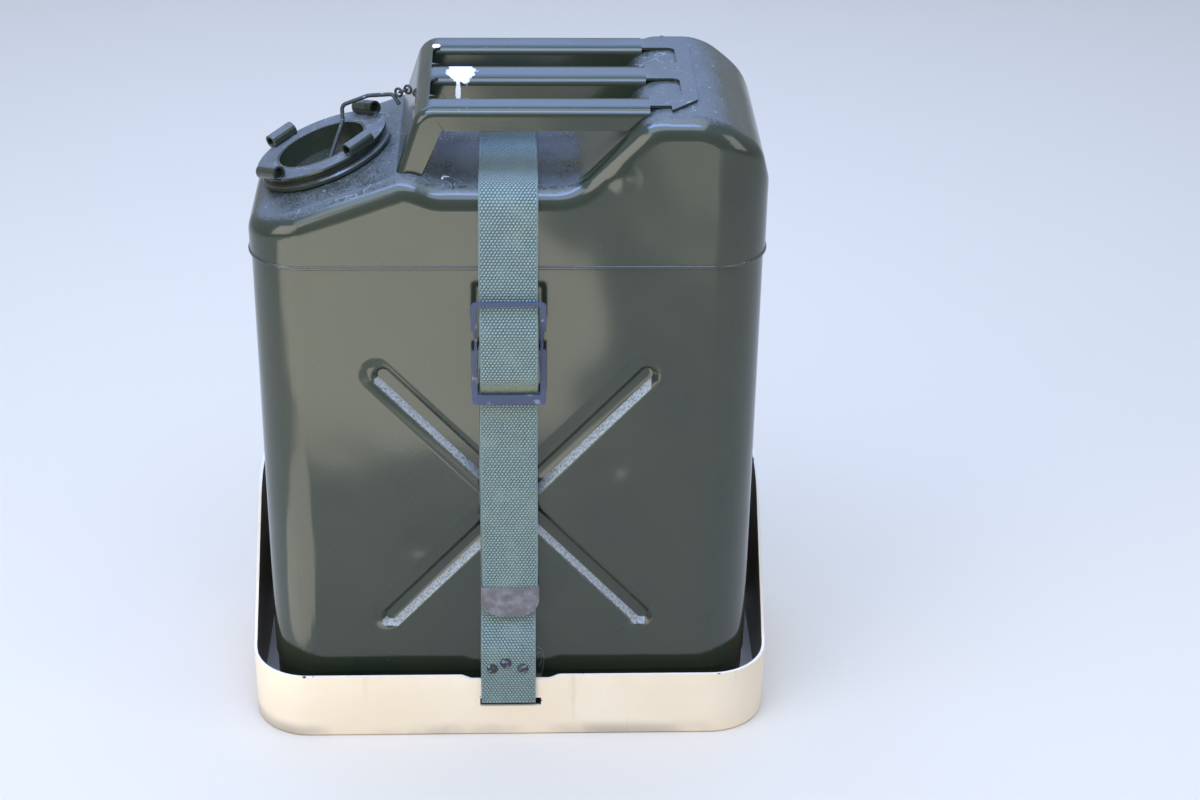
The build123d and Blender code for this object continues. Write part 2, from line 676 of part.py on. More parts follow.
def strap_tip():
    """Metal clip on the strap's free end."""
    thick = WEB_T + WEB_CLEAR + 2 * TIP_T
    width = WEB_W + WEB_CLEAR + 2 * TIP_T
    rows = [
        (-width / 2, TIP_FOOT_Z, TIP_CORNER_R), (width / 2, TIP_FOOT_Z, TIP_CORNER_R),
        (width / 2, TIP_FOOT_Z + TIP_H, 0), (-width / 2, TIP_FOOT_Z + TIP_H, 0),
    ]
    clip = Pos(0, TIP_Y, 0) * extrude(rounded_face(Plane.XZ, rows), thick / 2, both=True)
    low = TAIL_END_Z - WEB_CLEAR / 2
    high = TIP_FOOT_Z + TIP_H + 1
    pocket = Box(WEB_W + WEB_CLEAR, WEB_T + WEB_CLEAR, high - low)
    return clip - Pos(0, TIP_Y, (low + high) / 2) * pocket


def tray_block(inset, low, high):
    """Upright block on the tray's plan outline, drawn in by an inset."""
    half = TRAY_W / 2 - inset
    front, back = TRAY_FRONT_Y + inset, TRAY_BACK_Y - inset
    rows = [
        (-half, front, TRAY_FRONT_R - inset), (half, front, TRAY_FRONT_R - inset),
        (half, back, TRAY_BACK_R - inset), (-half, back, TRAY_BACK_R - inset),
    ]
    return extrude(rounded_face(Plane(origin=(0, 0, low)), rows), high - low)


def carrier_tray():
    """Pressed tray: flat floor, low front lip and sides that rise to the back."""
    tray = tray_block(0, 0, WALL_H) - tray_block(TRAY_SHEET, TRAY_SHEET, WALL_H + 1)
    tray = fillet(tray.edges().group_by(Axis.Z)[0], TRAY_SHEET)
    rim_rows = [
        (TRAY_FRONT_Y - 5, LIP_H, 0), (TRAY_FRONT_Y + RIM_START, LIP_H, RIM_BLEND_R / 2),
        (TRAY_BACK_Y - RIM_END, WALL_H, RIM_BLEND_R), (TRAY_BACK_Y + 5, WALL_H, 0),
        (TRAY_BACK_Y + 5, WALL_H + 5, 0), (TRAY_FRONT_Y - 5, WALL_H + 5, 0),
    ]
    tray -= extrude(rounded_face(Plane.YZ, rim_rows), TRAY_W, both=True)
    half = LIP_DIP_W / 2
    dip_rows = [
        (-half - 14, LIP_H, 0), (-half - 7, LIP_H, 6), (-half, LIP_H - LIP_DIP, 6),
        (half, LIP_H - LIP_DIP, 6), (half + 7, LIP_H, 6), (half + 14, LIP_H, 0),
        (half + 14, LIP_H + 9, 0), (-half - 14, LIP_H + 9, 0),
    ]
    tray -= Pos(0, TRAY_FRONT_Y, 0) * extrude(rounded_face(Plane.XZ, dip_rows), 4 * TRAY_SHEET, both=True)
    slot = Box(WEB_W + 2 * SLOT_SIDE, 4 * TRAY_SHEET, SLOT_H)
    tray -= Pos(0, TRAY_FRONT_Y + TRAY_SHEET / 2, SLOT_Z) * slot
    for x in (-DRAIN_SPACING_X / 2, DRAIN_SPACING_X / 2):
        for y in (-DRAIN_SPACING_Y / 2, DRAIN_SPACING_Y / 2):
            tray -= Pos(x, y, 0) * Cylinder(DRAIN_D / 2, 6 * TRAY_SHEET)
    return tray - bolt_holes()


def bolt_holes():
    """Holes for the four panel bolts, as solids to cut."""
    holes = []
    for x in (-BOLT_SPACING_X / 2, BOLT_SPACING_X / 2):
        for z in (BOLT_Z - BOLT_SPACING_Z / 2, BOLT_Z + BOLT_SPACING_Z / 2):
            holes.append(Pos(x, TRAY_BACK_Y, z) * Rot(90, 0, 0) * Cylinder(BOLT_HOLE_D / 2, 20))
    return holes


def back_plate():
    """Plate behind the tray with pressed ribs and the strap's bridge."""
    face = Plane(origin=(0, PLATE_REAR_Y, 0), x_dir=(1, 0, 0), z_dir=(0, -1, 0))
    height = PLATE_TOP_Z - PLATE_FOOT_Z
    outline = face * Pos(0, PLATE_FOOT_Z + height / 2) * RectangleRounded(PLATE_W, height, PLATE_CORNER_R)
    plate = extrude(outline, PLATE_T)
    radius = (RIB_W**2 / 4 + RIB_H**2) / (2 * RIB_H)
    middle_y = PLATE_REAR_Y - PLATE_T - RIB_H + radius
    rib_l = RIB_HEAD_Z - RIB_FOOT_Z
    for x in (-RIB_X, RIB_X):
        spot = Pos(x, middle_y, RIB_FOOT_Z + rib_l / 2)
        outer = Cylinder(radius, rib_l) + Pos(0, 0, rib_l / 2) * Sphere(radius)
        outer += Pos(0, 0, -rib_l / 2) * Sphere(radius)
        inner = Cylinder(radius - PLATE_T, rib_l) + Pos(0, 0, rib_l / 2) * Sphere(radius - PLATE_T)
        inner += Pos(0, 0, -rib_l / 2) * Sphere(radius - PLATE_T)
        front = Pos(x, PLATE_REAR_Y - 2 * radius, RIB_FOOT_Z + rib_l / 2)
        front *= Box(4 * radius, 4 * radius, rib_l + 4 * radius)
        plate = plate + ((spot * outer) & front) - spot * inner
    flat = WEB_W / 2 + SLOT_SIDE
    ramp = flat + BRIDGE_RAMP
    window = Box(2 * ramp, 4 * PLATE_T, BRIDGE_H + 2 * BRIDGE_SLIT)
    plate -= Pos(0, PLATE_REAR_Y, BRIDGE_Z) * window
    rear, risen = PLATE_REAR_Y, PLATE_REAR_Y - BRIDGE_RISE
    rows = [
        (-ramp - 1, rear, 0), (-ramp, rear, 0), (-flat, risen, 3), (flat, risen, 3), (ramp, rear, 0),
        (ramp + 1, rear, 0), (ramp + 1, rear - PLATE_T, 0), (ramp, rear - PLATE_T, 0),
        (flat, risen - PLATE_T, 3), (-flat, risen - PLATE_T, 3), (-ramp, rear - PLATE_T, 0),
        (-ramp - 1, rear - PLATE_T, 0),
    ]
    bridge = extrude(rounded_face(Plane(origin=(0, 0, BRIDGE_Z)), rows), BRIDGE_H / 2, both=True)
    return plate + bridge - bolt_holes()


NODES = {
    "carrier_tray": carrier_tray,
    "back_plate": back_plate,
    "can_body": can_body,
    "can_bottom": can_bottom,
    "can_top": can_top,
    "can_handle": can_handle,
    "filler_neck": filler_neck,
    "cap_gasket": cap_gasket,
    "cap_ring": cap_ring,
    "cap_cup": cap_cup,
    "cap_wire": cap_wire,
    "cap_chain": cap_chain,
    "strap_long": strap_long,
    "strap_short": strap_short,
    "strap_rivets": strap_rivets,
    "strap_buckle": strap_buckle,
    "strap_tip": strap_tip,
}

os.makedirs("parts", exist_ok=True)
origin = Pos(0, -PLATE_REAR_Y, -BOLT_Z)
for name, make in NODES.items():
    shape = make()
    print(name, round(shape.volume), "mm3")
    export_step(origin * shape, "parts/" + name + ".step")
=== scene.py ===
"""Fuel can strapped in its vehicle carrier: webbing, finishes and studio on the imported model.

The object's sizes and places are in millimetres, and a value times MM is in metres. The lamps and
the camera are in metres, and the scale of a noise is in clouds per metre.
"""
import logging
import math
from dataclasses import dataclass
from enum import Enum

import bmesh
import bpy
from mathutils import Matrix, Vector


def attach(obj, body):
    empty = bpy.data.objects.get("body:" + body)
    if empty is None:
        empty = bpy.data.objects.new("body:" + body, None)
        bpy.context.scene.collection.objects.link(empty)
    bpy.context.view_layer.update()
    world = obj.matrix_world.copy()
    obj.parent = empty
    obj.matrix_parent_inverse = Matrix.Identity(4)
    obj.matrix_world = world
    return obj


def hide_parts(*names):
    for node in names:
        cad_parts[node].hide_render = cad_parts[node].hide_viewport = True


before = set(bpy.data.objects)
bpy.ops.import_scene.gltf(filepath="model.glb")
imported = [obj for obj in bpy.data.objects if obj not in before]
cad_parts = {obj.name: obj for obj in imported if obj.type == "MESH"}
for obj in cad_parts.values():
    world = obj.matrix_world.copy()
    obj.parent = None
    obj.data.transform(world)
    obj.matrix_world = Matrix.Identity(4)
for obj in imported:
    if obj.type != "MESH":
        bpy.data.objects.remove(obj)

LOG = logging.getLogger("fuel_can")
MM = 0.001
CAN_MIDDLE = Vector((0.0, -98.5, -175.0))
JOIN_REACH = 0.005 * MM
SHARP_TURN = 35.0
EDGE_WIDTH = 0.5
Colour = tuple[float, float, float]
Place = tuple[float, float, float]
Route = tuple[tuple[float, float], ...]


def at(x: float, y: float, z: float) -> Vector:
    """Place a point given in millimetres about the can's middle, over the carrier's underside.

    Args:
        x: Distance to the right.
        y: Distance into the vehicle.
        z: Height over the carrier's underside.

    Returns:
        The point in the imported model's frame, in metres.
    """
    return (Vector((x, y, z)) + CAN_MIDDLE) * MM


class Term:
    """A shader socket that can be written in sums."""

    def __init__(self, graph: "Graph", socket: bpy.types.NodeSocket) -> None:
        """Keep the graph and the socket."""
        self.graph = graph
        self.socket = socket

    def _math(self, operation: str, first: "Term | float", second: "Term | float") -> "Term":
        """Add one Math node to the graph."""
        return self.graph.node("ShaderNodeMath", {0: first, 1: second}, operation=operation)

    def __add__(self, other: "Term | float") -> "Term":
        """Sum."""
        return self._math("ADD", self, other)

    def __radd__(self, other: float) -> "Term":
        """Sum with a number on the left."""
        return self._math("ADD", other, self)

    def __sub__(self, other: "Term | float") -> "Term":
        """Difference."""
        return self._math("SUBTRACT", self, other)

    def __rsub__(self, other: float) -> "Term":
        """Difference from a number."""
        return self._math("SUBTRACT", other, self)

    def __mul__(self, other: "Term | float") -> "Term":
        """Product."""
        return self._math("MULTIPLY", self, other)

    def __rmul__(self, other: float) -> "Term":
        """Product with a number on the left."""
        return self._math("MULTIPLY", other, self)

    def __truediv__(self, other: "Term | float") -> "Term":
        """Quotient."""
        return self._math("DIVIDE", self, other)

    def __abs__(self) -> "Term":
        """Size without sign."""
        return self._math("ABSOLUTE", self, 0.0)

    def floor(self) -> "Term":
        """Whole part."""
        return self._math("FLOOR", self, 0.0)

    def fraction(self) -> "Term":
        """Part after the whole number."""
        return self._math("FRACT", self, 0.0)

    def most(self, other: "Term | float") -> "Term":
        """Larger of two values."""
        return self._math("MAXIMUM", self, other)

    def least(self, other: "Term | float") -> "Term":
        """Smaller of two values."""
        return self._math("MINIMUM", self, other)

    def step(self, low: float, high: float, to: tuple[float, float] = (0.0, 1.0)) -> "Term":
        """Ease from one value to another.

        Args:
            low: Value where the ease starts.
            high: Value where it ends; it may lie under low.
            to: Results at the start and at the end.

        Returns:
            The eased value.
        """
        if low > high:
            low, high, to = high, low, (to[1], to[0])
        return self.graph.node(
            "ShaderNodeMapRange", {0: self, 1: low, 2: high, 3: to[0], 4: to[1]},
            interpolation_type="SMOOTHSTEP",
        )


class Graph:
    """The nodes of one node tree."""

    def __init__(self, tree: bpy.types.NodeTree, coordinates: str) -> None:
        """Start on a tree with the coordinates that its patterns follow."""
        self.tree = tree
        self.place = self.node("ShaderNodeTexCoord", {}, output=coordinates)

    def node(self, kind: str, inputs: dict, output: str | int = 0, **settings: object) -> Term:
        """Add a node.

        Args:
            kind: Blender's name of the node type.
            inputs: Values or terms for its sockets, by name or number.
            output: Name or number of the output that is wanted.
            settings: The node's own options, set before its sockets.

        Returns:
            The chosen output.
        """
        made = self.tree.nodes.new(kind)
        for option, value in settings.items():
            setattr(made, option, value)
        for socket, value in inputs.items():
            self.feed(made.inputs[socket], value)
        return Term(self, made.outputs[output])

    def feed(self, socket: bpy.types.NodeSocket, value: object) -> None:
        """Link a term to a socket, or set the socket's own value.

        Args:
            socket: The socket that is fed.
            value: A term, or a number or colour for the socket itself.
        """
        if isinstance(value, Term):
            self.tree.links.new(value.socket, socket)
        else:
            socket.default_value = value

    def noise(self, scale: float, detail: float = 2.0, vector: Term | None = None) -> Term:
        """Cloudy value between 0 and 1.

        Args:
            scale: Clouds per metre.
            detail: Finer layers.
            vector: Coordinates, the object's own where none are given.

        Returns:
            The noise value.
        """
        return self.node(
            "ShaderNodeTexNoise", {"Vector": vector or self.place, "Scale": scale, "Detail": detail}
        )

    def stretched(self, scale: Place) -> Term:
        """Object coordinates with a scale for each axis."""
        return self.node("ShaderNodeMapping", {"Vector": self.place, "Scale": scale})

    def mix(self, factor: Term | float, first: Term | Colour, second: Term | Colour) -> Term:
        """Blend two colours.

        Args:
            factor: Share of the second colour.
            first: Colour at 0.
            second: Colour at 1.

        Returns:
            The blended colour.
        """
        first, second = (c if isinstance(c, Term) else (*c, 1.0) for c in (first, second))
        return self.node("ShaderNodeMix", {0: factor, 6: first, 7: second}, output=2, data_type="RGBA")

    def part(self, vector: Term, axis: str) -> Term:
        """One coordinate of a vector."""
        return self.node("ShaderNodeSeparateXYZ", {0: vector}, output=axis)

    def offset(self, point: Vector) -> Term:
        """Coordinates counted from a point."""
        return self.node(
            "ShaderNodeVectorMath", {0: self.place, 1: tuple(point)}, operation="SUBTRACT"
        )

    def reach(self, centre: Place, radii: Place) -> Term:
        """Distance from a point, 1 on an ellipsoid about it.

        Args:
            centre: The point, in millimetres.
            radii: The ellipsoid's half lengths along the axes, in millimetres.

        Returns:
            The distance as a share of the radii.
        """
        shrink = tuple(1.0 / (radius * MM) for radius in radii)
        scaled = self.node(
            "ShaderNodeVectorMath", {0: self.offset(at(*centre)), 1: shrink}, operation="MULTIPLY"
        )
        return self.node("ShaderNodeVectorMath", {0: scaled}, output="Value", operation="LENGTH")


class Coat(Graph):
    """The nodes of one material."""

    def __init__(self, name: str) -> None:
        """Start a material with its Principled shader and the object's own coordinates."""
        self.material = bpy.data.materials.new(name)
        self.material.use_nodes = True
        super().__init__(self.material.node_tree, "Object")
        self.shader = next(n for n in self.tree.nodes if n.type == "BSDF_PRINCIPLED")

    def surface(self, **sockets: object) -> None:
        """Set sockets of the Principled shader, with underscores for spaces."""
        for name, value in sockets.items():
            self.feed(self.shader.inputs[name.replace("_", " ")], value)

    def facing(self) -> Term:
        """Direction in which the surface faces."""
        return self.node("ShaderNodeNewGeometry", {}, output="Normal")

    def facing_up(self) -> Term:
        """How far the surface faces up, from -1 to 1."""
        return self.part(self.facing(), "Z")

    def dented(self, height: Term, dents: "tuple[Dent, ...]") -> Term:
        """Press dents into a height.

        Args:
            height: Height of the surface in metres.
            dents: The dents.

        Returns:
            The height with the dents in it.
        """
        for dent in dents:
            near = self.reach(dent.centre, (dent.radius,) * 3).step(1.0, 0.0)
            height = height - near * (dent.depth * MM)
        return height

    def bump(self, height: Term) -> Term:
        """Surface normal raised by a height in metres."""
        return self.node("ShaderNodeBump", {"Height": height, "Distance": 1.0, "Strength": 1.0})


@dataclass(frozen=True)
class Finish:
    """What one kind of surface looks like."""

    name: str

    def material(self) -> bpy.types.Material:
        """Make the finish's material."""
        raise NotImplementedError


@dataclass(frozen=True)
class Dent:
    """Round dent in sheet metal, or a bulge where its depth is negative, in millimetres."""

    centre: Place
    radius: float
    depth: float


@dataclass(frozen=True)
class Splat:
    """Splash of white paint, in millimetres."""

    centre: Place
    radii: Place


@dataclass(frozen=True)
class DustyField:
    """Field of the can's front in whose grooves dust settles, in millimetres."""

    centre: Place = (0.0, -83.0, 190.5)
    half_w: float = 96.0
    half_h: float = 104.0
    floor: float = 6.0
    side_fade: float = 1.0
    floor_fade: float = 2.0


@dataclass(frozen=True)
class OliveEnamel(Finish):
    """Glossy olive drab paint on sheet steel, dusty where it faces up."""

    dusty: float = 1.0
    dents: tuple[Dent, ...] = ()
    splats: tuple[Splat, ...] = ()
    paint: Colour = (0.020, 0.028, 0.018)
    worn: Colour = (0.027, 0.034, 0.020)
    dust: Colour = (0.115, 0.125, 0.145)
    fleck: Colour = (0.30, 0.33, 0.36)
    settled: Colour = (0.40, 0.43, 0.46)
    white: Colour = (0.82, 0.84, 0.86)
    gloss: float = 0.11
    refraction: float = 1.65
    cloud_scale: float = 11.0
    patch_scale: float = 34.0
    grain_scale: float = 620.0
    fleck_scale: float = 190.0
    scuff_scale: float = 46.0
    splash_scale: float = 240.0
    spray_scale: float = 330.0
    slack_scale: float = 13.0
    spray_height: float = 0.018 * MM
    slack_height: float = 1.8 * MM
    dust_height: float = 0.12 * MM
    wiped_to: float = -400.0
    wipe_blend: float = 9.0
    field: DustyField | None = None

    def material(self) -> bpy.types.Material:
        """Make the paint with its dust, flecks, dents and splashes.

        Returns:
            The paint.
        """
        graph = Coat(self.name)
        clouds = graph.noise(self.cloud_scale, 3.0)
        grain = graph.noise(self.grain_scale, 5.0)
        colour = graph.mix(clouds.step(0.35, 0.7), self.paint, self.worn)
        lying = graph.facing_up().step(0.7, 0.9)
        patches = graph.noise(self.patch_scale, 5.0).step(0.3, 0.7, (0.25, 1.0))
        handled = graph.part(graph.place, "X").step(
            (self.wiped_to - self.wipe_blend) * MM, (self.wiped_to + self.wipe_blend) * MM
        )
        dust = lying * patches * handled * grain.step(0.36, 0.62, (0.3, 1.0)) * self.dusty
        colour = graph.mix(dust.least(1.0) * 0.8, colour, self.dust)
        colour = graph.mix(self._scribbles(graph) * lying * handled, colour, self.fleck)
        if self.field:
            settled = self._settled(graph, self.field) * grain.step(0.36, 0.6, (0.4, 1.0))
            colour = graph.mix(settled * 0.8, colour, self.settled)
            dust = dust + settled * 0.6
        flecks = self._flecks(graph) * lying.most(0.04) * handled.most(0.25)
        colour = graph.mix(flecks, colour, self.fleck)
        for splat in self.splats:
            colour = graph.mix(self._splash(graph, splat), colour, self.white)
        sprayed = graph.noise(self.spray_scale, 1.0) * self.spray_height
        slack = graph.noise(self.slack_scale, 1.0) * self.slack_height
        height = sprayed + slack + dust * grain * self.dust_height
        graph.surface(
            Base_Color=colour,
            Roughness=(self.gloss + clouds * 0.08 + dust * 0.6 + flecks * 0.3).least(0.85),
            IOR=self.refraction,
            Normal=graph.bump(graph.dented(height, self.dents)),
        )
        return graph.material

    def _flecks(self, graph: Coat) -> Term:
        """Small light specks of grit and chipped paint."""
        cells = graph.node(
            "ShaderNodeTexVoronoi", {"Vector": graph.place, "Scale": self.fleck_scale},
            output="Distance",
        )
        spread = graph.noise(160.0, 1.0)
        return cells.step(0.17, 0.09) * spread.step(0.5, 0.62)

    def _scribbles(self, graph: Coat) -> Term:
        """Thin wandering scuffs, a few together here and there."""
        line = abs(graph.noise(self.scuff_scale, 2.0) - 0.5).step(0.012, 0.003)
        return line * graph.noise(21.0, 1.0).step(0.52, 0.62) * 0.5

    def _settled(self, graph: Coat, field: DustyField) -> Term:
        """Mask of the dust that lies in the can's grooves.

        Args:
            graph: The paint's nodes.
            field: Field that the grooves lie in.

        Returns:
            The mask, on those walls of the grooves that face up.
        """
        offset = graph.offset(at(*field.centre))
        near = graph.facing_up().step(0.18, 0.4)
        for axis, half in (("X", field.half_w * MM), ("Z", field.half_h * MM)):
            beyond = half + field.side_fade * MM
            near = near * abs(graph.part(offset, axis)).step(beyond, half)
        floor, beyond = field.floor * MM, (field.floor + field.floor_fade) * MM
        return near * graph.part(offset, "Y").step(beyond, floor)

    def _splash(self, graph: Coat, splat: Splat) -> Term:
        """Mask of one white splash with a ragged edge."""
        ragged = (graph.noise(self.splash_scale, 3.0) - 0.5) * 0.9
        return (graph.reach(splat.centre, splat.radii) + ragged).step(1.0, 0.86)


@dataclass(frozen=True)
class SandEnamel(Finish):
    """Sand paint on the carrier, chipped along its lip and dirty along its foot, with painted shade on
    its inner walls and a painted highlight on its upward faces.
    """

    paint: Colour = (0.83, 0.69, 0.51)
    faded: Colour = (0.88, 0.76, 0.60)
    bare: Colour = (0.035, 0.04, 0.06)
    # Whitish colour for the painted highlight on faces that point up.
    painted_highlight: Colour = (0.88, 0.84, 0.79)
    # Dirt colour, also used for the painted shade on the walls that face the can.
    soil_and_inner_shade: Colour = (0.20, 0.15, 0.11)
    cloud_scale: float = 14.0
    grain_scale: float = 260.0
    spray_scale: float = 420.0
    ragged_scale: float = 310.0
    nick_scale: float = 75.0
    streak_stretch: Place = (90.0, 90.0, 9.0)
    spray_height: float = 0.02 * MM
    slack_height: float = 0.4 * MM
    chip_depth: float = 0.1 * MM
    soiled_to: float = 14.0
    soiled_below: float = 3.0
    chip_share: float = 0.55
    chips: tuple[tuple[Place, float], ...] = (
        ((-187.0, -26.0, 130.0), 7.0), ((-187.0, -64.0, 62.0), 6.0), ((-148.0, -97.0, 52.0), 4.0),
        ((187.0, -50.0, 70.0), 5.0), ((22.0, -97.0, 30.0), 2.6), ((-22.0, -97.0, 34.0), 1.8),
        ((150.0, -97.0, 52.0), 2.4),
    )

    def material(self) -> bpy.types.Material:
        """Make the paint with chips, dirt, painted shade on the inner walls and a painted highlight on
        the faces that point up.

        Returns:
            The paint.
        """
        graph = Coat(self.name)
        clouds = graph.noise(self.cloud_scale, 4.0)
        grain = graph.noise(self.grain_scale, 3.0)
        # Painted shade: the walls that face the can are darkened towards the dirt colour, as if in
        # shade.
        painted_inner_shade = self._inside(graph) * clouds.step(0.2, 0.6, (0.55, 0.85))
        colour = graph.mix(clouds.step(0.3, 0.75), self.paint, self.faded)
        colour = graph.mix(self._soil(graph, clouds) * 0.55, colour, self.soil_and_inner_shade)
        colour = graph.mix(painted_inner_shade, colour, self.soil_and_inner_shade)
        # Painted highlight: faces that point up are painted lighter, as if lit from above.
        colour = graph.mix(graph.facing_up().step(0.75, 0.95) * 0.7, colour, self.painted_highlight)
        chips = self._chips(graph, grain)
        colour = graph.mix(chips, colour, self.bare)
        sprayed = graph.noise(self.spray_scale, 1.0) * self.spray_height
        height = sprayed - chips * self.chip_depth + clouds * self.slack_height
        graph.surface(
            Base_Color=colour,
            Roughness=(0.34 + grain * 0.14 + chips * 0.2).least(0.8),
            Normal=graph.bump(height),
        )
        return graph.material

    def _soil(self, graph: Coat, clouds: Term) -> Term:
        """Mask of splashed dirt.

        Args:
            graph: The paint's nodes.
            clouds: Cloudy value that breaks the dirt up.

        Returns:
            The mask, along the carrier's foot and in upright streaks.
        """
        top, full = at(0.0, 0.0, self.soiled_to).z, at(0.0, 0.0, self.soiled_below).z
        low = graph.part(graph.place, "Z").step(top, full)
        streaks = graph.noise(1.0, 3.0, graph.stretched(self.streak_stretch))
        return (low * clouds.step(0.35, 0.65) + streaks.step(0.66, 0.8) * 0.35).least(1.0)

    def _inside(self, graph: Coat) -> Term:
        """Mask of the walls that face the can.

        Args:
            graph: The paint's nodes.

        Returns:
            The mask, where the level part of the surface's direction points at the can's middle.
        """
        level = graph.node(
            "ShaderNodeVectorMath", {0: graph.facing(), 1: (1.0, 1.0, 0.0)}, operation="MULTIPLY"
        )
        outward = graph.node(
            "ShaderNodeVectorMath", {0: level, 1: graph.offset(at(0.0, 0.0, 0.0))},
            output="Value", operation="DOT_PRODUCT",
        )
        return outward.step(-0.02, -0.06)

    def _chips(self, graph: Coat, grain: Term) -> Term:
        """Mask of the places where the paint is knocked off.

        Args:
            graph: The paint's nodes.
            grain: Fine value that frets the chips.

        Returns:
            The mask.
        """
        ragged = (graph.noise(self.ragged_scale, 3.0) - 0.5) * 1.6 + grain * 0.4
        nicks = graph.noise(self.nick_scale, 3.0).step(0.68, 0.71)
        mask = graph.facing_up().step(0.8, 0.95) * nicks
        for centre, radius in self.chips:
            reach = graph.reach(centre, (radius, radius, radius * self.chip_share))
            mask = mask.most((reach + ragged).step(0.62, 0.5))
        return mask.least(1.0)


@dataclass(frozen=True)
class WovenWebbing(Finish):
    """Coarse grey-green webbing with a bound edge."""

    across: float = 2.4 * MM
    along: float = 2.0 * MM
    thread: Colour = (0.240, 0.335, 0.330)
    # Dark colour between the threads: painted shade in the weave's hollows.
    painted_gap_shade: Colour = (0.058, 0.094, 0.092)
    faded: Colour = (0.25, 0.33, 0.27)
    rubbed: Colour = (0.22, 0.25, 0.10)
    fluff: Colour = (0.50, 0.58, 0.55)
    rubbed_from: float = 168.0 * MM
    rubbed_to: float = 180.0 * MM
    rub_blend: float = 3.0 * MM
    half_width: float = 19.5 * MM
    bound_edge: float = 1.6 * MM
    bound_blend: float = 0.5 * MM
    edge_cord: float = 0.9 * MM
    relief: float = 0.65 * MM
    nap: float = 0.1 * MM
    tone_scale: float = 55.0
    fluff_scale: float = 900.0
    slack_scale: float = 260.0
    slack: float = 0.4
    slant: float = 0.16

    def material(self) -> bpy.types.Material:
        """Make the weave from the strap's own length and width.

        Returns:
            The webbing.
        """
        graph = Coat(self.name)
        laid = graph.node("ShaderNodeUVMap", {}, uv_map="weave")
        side, length = graph.part(laid, "X"), graph.part(laid, "Y")
        height = self._threads(graph, side, length)
        tone, fluff = graph.noise(self.tone_scale, 4.0), graph.noise(self.fluff_scale, 3.0)
        fold = length.step(self.rubbed_from, self.rubbed_from + self.rub_blend)
        fold = fold * length.step(self.rubbed_to, self.rubbed_to - self.rub_blend)
        # The hollows between the threads are painted dark as shade; the knots take the thread colour.
        colour = graph.mix(height.step(0.1, 0.85), self.painted_gap_shade, self.thread)
        colour = graph.mix(tone.step(0.45, 0.8) * 0.35, colour, self.faded)
        colour = graph.mix(fluff.step(0.55, 0.8) * 0.18, colour, self.fluff)
        colour = graph.mix(fold * 0.6, colour, self.rubbed)
        graph.surface(
            Base_Color=colour,
            Roughness=(0.95 - height * 0.22).least(1.0),
            Sheen_Weight=0.25,
            Sheen_Roughness=0.5,
            Normal=graph.bump(height * self.relief + fluff * self.nap),
        )
        return graph.material

    def _threads(self, graph: Coat, side: Term, length: Term) -> Term:
        """Height of the weave, with its knots in brick bond.

        Args:
            graph: The webbing's nodes.
            side: Distance from the webbing's middle.
            length: Distance along the webbing.

        Returns:
            The height, from 0 between the threads to 1 on top of them.
        """
        row = length / self.along
        slack = (graph.noise(self.slack_scale, 2.0) - 0.5) * self.slack
        rise = row.fraction() - 0.5
        cross = (side / self.across + (row.floor() * 0.5).fraction() + slack).fraction() - 0.5
        cross = cross - rise * self.slant
        knot = (1.0 - cross * cross * 4.2 - rise * rise * 3.4).most(0.0)
        cord = (1.0 - abs((side / self.edge_cord).fraction() - 0.5) * 1.6).most(0.0)
        bound = self.half_width - self.bound_edge
        edge = abs(side).step(bound, bound + self.bound_blend)
        return knot + (cord - knot) * edge


@dataclass(frozen=True)
class WornMetal(Finish):
    """Metal with a dark coat that is rubbed through in patches."""

    # Default coat, the buckle's: blue-black paint made bluer to stand in for the sky's reflection, so
    # partly a painted reflection.
    coat: Colour = (0.045, 0.062, 0.125)
    bare: Colour = (0.26, 0.29, 0.38)
    rub: float = 0.58
    fade: float = 0.1
    metallic: float = 0.6
    roughness: float = 0.32
    scale: float = 130.0
    scratch_stretch: Place = (2600.0, 2600.0, 160.0)
    patch_height: float = 0.12 * MM
    scratch_height: float = 0.02 * MM
    dents: tuple[Dent, ...] = ()

    def material(self) -> bpy.types.Material:
        """Make the coat with its rubbed patches and fine scratches.

        Returns:
            The metal.
        """
        graph = Coat(self.name)
        patches = graph.noise(self.scale, 5.0)
        scratches = graph.noise(1.0, 2.0, graph.stretched(self.scratch_stretch))
        rubbed = patches.step(self.rub, self.rub + self.fade) * 0.85
        rubbed = (rubbed + scratches.step(0.66, 0.74) * 0.35).least(1.0)
        height = patches * self.patch_height + scratches * self.scratch_height
        graph.surface(
            Base_Color=graph.mix(rubbed, self.coat, self.bare),
            Metallic=rubbed * self.metallic,
            Roughness=self.roughness + patches * 0.25,
            Normal=graph.bump(graph.dented(height, self.dents)),
        )
        return graph.material


@dataclass(frozen=True)
class Rubber(Finish):
    """Matt black seal."""

    body: Colour = (0.018, 0.018, 0.019)
    dusted: Colour = (0.09, 0.09, 0.09)
    bloom_scale: float = 150.0
    grain_scale: float = 700.0
    grain_height: float = 0.05 * MM

    def material(self) -> bpy.types.Material:
        """Make the rubber with a dusty bloom.

        Returns:
            The rubber.
        """
        graph = Coat(self.name)
        bloom = graph.noise(self.bloom_scale, 4.0)
        graph.surface(
            Base_Color=graph.mix(bloom.step(0.5, 0.8) * 0.4, self.body, self.dusted),
            Roughness=0.62 + bloom * 0.25,
            Normal=graph.bump(graph.noise(self.grain_scale) * self.grain_height),
        )
        return graph.material


@dataclass(frozen=True)
class StudioFloor(Finish):
    """Pale matt floor."""

    tone: Colour = (0.68, 0.61, 0.515)
    shade: float = 0.94
    mottle_scale: float = 3.0

    def material(self) -> bpy.types.Material:
        """Make the floor with a very faint mottle.

        Returns:
            The floor's paint.
        """
        graph = Coat(self.name)
        mottle = graph.noise(self.mottle_scale, 3.0)
        graph.surface(
            Base_Color=graph.mix(mottle * 0.3, self.tone, tuple(self.shade * c for c in self.tone)),
            Roughness=0.85 + mottle * 0.1,
            Specular_IOR_Level=0.2,
        )
        return graph.material


